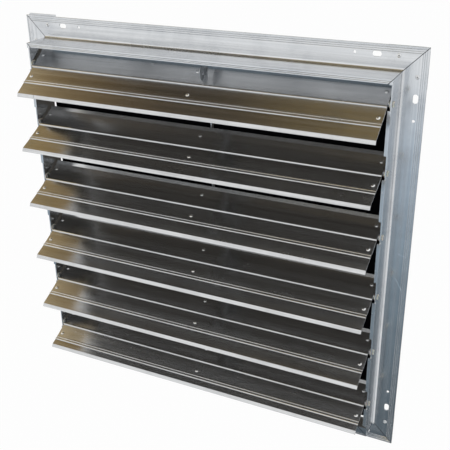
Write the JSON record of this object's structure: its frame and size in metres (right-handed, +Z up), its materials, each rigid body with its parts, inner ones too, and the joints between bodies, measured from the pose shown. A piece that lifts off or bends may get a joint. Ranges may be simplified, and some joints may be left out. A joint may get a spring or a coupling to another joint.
{
  "type": "intake shutter",
  "caption": "Square wall-mounted intake shutter: flanged mitred aluminium frame with linked roll-formed blades that swing from open to closed together.",
  "frame": {"origin": "centre of the flange's rear plane, which is the centre of the mounting holes", "axes": "+X to the viewer's right, +Z up, -Y out of the wall towards the viewer"},
  "size_m": [0.7, 0.1094, 0.703],
  "materials": {
    "frame_aluminium": "mill-finish extrusion",
    "blade_aluminium": "bright rolled sheet",
    "bracket_steel": "zinc plated",
    "bar_steel": "zinc plated flat bar",
    "rivet_aluminium": "domed blind rivet",
    "pin_steel": "zinc plated",
    "bushing_nylon": "natural nylon"
  },
  "bodies": {
    "frame": {"frame_top": "frame_aluminium", "frame_bottom": "frame_aluminium", "frame_left": "frame_aluminium", "frame_right": "frame_aluminium", "corner_gusset_tl": "bracket_steel", "corner_gusset_tr": "bracket_steel", "corner_gusset_bl": "bracket_steel", "corner_gusset_br": "bracket_steel", "corner_rivets": "rivet_aluminium", "bushings_left": "bushing_nylon", "bushings_right": "bushing_nylon"},
    "blade_1_body": {"blade_1": "blade_aluminium", "blade_1_rivets": "rivet_aluminium", "end_bracket_left_1": "bracket_steel", "end_bracket_right_1": "bracket_steel", "pivot_pins_1": "pin_steel", "drive_bracket_1": "bracket_steel"},
    "blade_2_body": {"blade_2": "blade_aluminium", "blade_2_rivets": "rivet_aluminium", "end_bracket_left_2": "bracket_steel", "end_bracket_right_2": "bracket_steel", "pivot_pins_2": "pin_steel", "drive_bracket_2": "bracket_steel", "link_pin_2": "pin_steel"},
    "blade_3_body": {"blade_3": "blade_aluminium", "blade_3_rivets": "rivet_aluminium", "end_bracket_left_3": "bracket_steel", "end_bracket_right_3": "bracket_steel", "pivot_pins_3": "pin_steel", "drive_bracket_3": "bracket_steel", "link_pin_3": "pin_steel"},
    "blade_4_body": {"blade_4": "blade_aluminium", "blade_4_rivets": "rivet_aluminium", "end_bracket_left_4": "bracket_steel", "end_bracket_right_4": "bracket_steel", "pivot_pins_4": "pin_steel", "drive_bracket_4": "bracket_steel", "link_pin_4": "pin_steel"},
    "blade_5_body": {"blade_5": "blade_aluminium", "blade_5_rivets": "rivet_aluminium", "end_bracket_left_5": "bracket_steel", "end_bracket_right_5": "bracket_steel", "pivot_pins_5": "pin_steel", "drive_bracket_5": "bracket_steel", "link_pin_5": "pin_steel"},
    "blade_6_body": {"blade_6": "blade_aluminium", "blade_6_rivets": "rivet_aluminium", "end_bracket_left_6": "bracket_steel", "end_bracket_right_6": "bracket_steel", "pivot_pins_6": "pin_steel", "drive_bracket_6": "bracket_steel", "link_pin_6": "pin_steel"},
    "tie_bar_body": {"tie_bar": "bar_steel", "link_pin_1": "pin_steel"}
  },
  "joints": [
    {"name": "blade_1_hinge", "type": "hinge", "parent": "frame", "child": "blade_1_body", "pos_m": [0, -0.045, 0.277], "axis": [1, 0, 0], "range_deg": [-6.01, 49.31]},
    {"name": "blade_2_hinge", "type": "hinge", "parent": "frame", "child": "blade_2_body", "pos_m": [0, -0.045, 0.173], "axis": [1, 0, 0], "range_deg": [-7, 57.5]},
    {"name": "blade_3_hinge", "type": "hinge", "parent": "frame", "child": "blade_3_body", "pos_m": [0, -0.045, 0.069], "axis": [1, 0, 0], "range_deg": [-7, 57.5]},
    {"name": "blade_4_hinge", "type": "hinge", "parent": "frame", "child": "blade_4_body", "pos_m": [0, -0.045, -0.035], "axis": [1, 0, 0], "range_deg": [-7, 57.5]},
    {"name": "blade_5_hinge", "type": "hinge", "parent": "frame", "child": "blade_5_body", "pos_m": [0, -0.045, -0.139], "axis": [1, 0, 0], "range_deg": [-7, 57.5]},
    {"name": "blade_6_hinge", "type": "hinge", "parent": "frame", "child": "blade_6_body", "pos_m": [0, -0.045, -0.243], "axis": [1, 0, 0], "range_deg": [-7, 57.5]},
    {"name": "tie_bar_pivot", "type": "hinge", "parent": "blade_2_body", "child": "tie_bar_body", "pos_m": [0, -0.00491, 0.16226], "axis": [1, 0, 0], "range_deg": [-57.5, 7]}
  ],
  "couplings": [
    {"joint": "blade_1_hinge", "follows": "blade_2_hinge", "ratio": 0.8574},
    {"joint": "blade_3_hinge", "follows": "blade_2_hinge", "ratio": 1},
    {"joint": "blade_4_hinge", "follows": "blade_2_hinge", "ratio": 1},
    {"joint": "blade_5_hinge", "follows": "blade_2_hinge", "ratio": 1},
    {"joint": "blade_6_hinge", "follows": "blade_2_hinge", "ratio": 1},
    {"joint": "tie_bar_pivot", "follows": "blade_2_hinge", "ratio": -1}
  ]
}
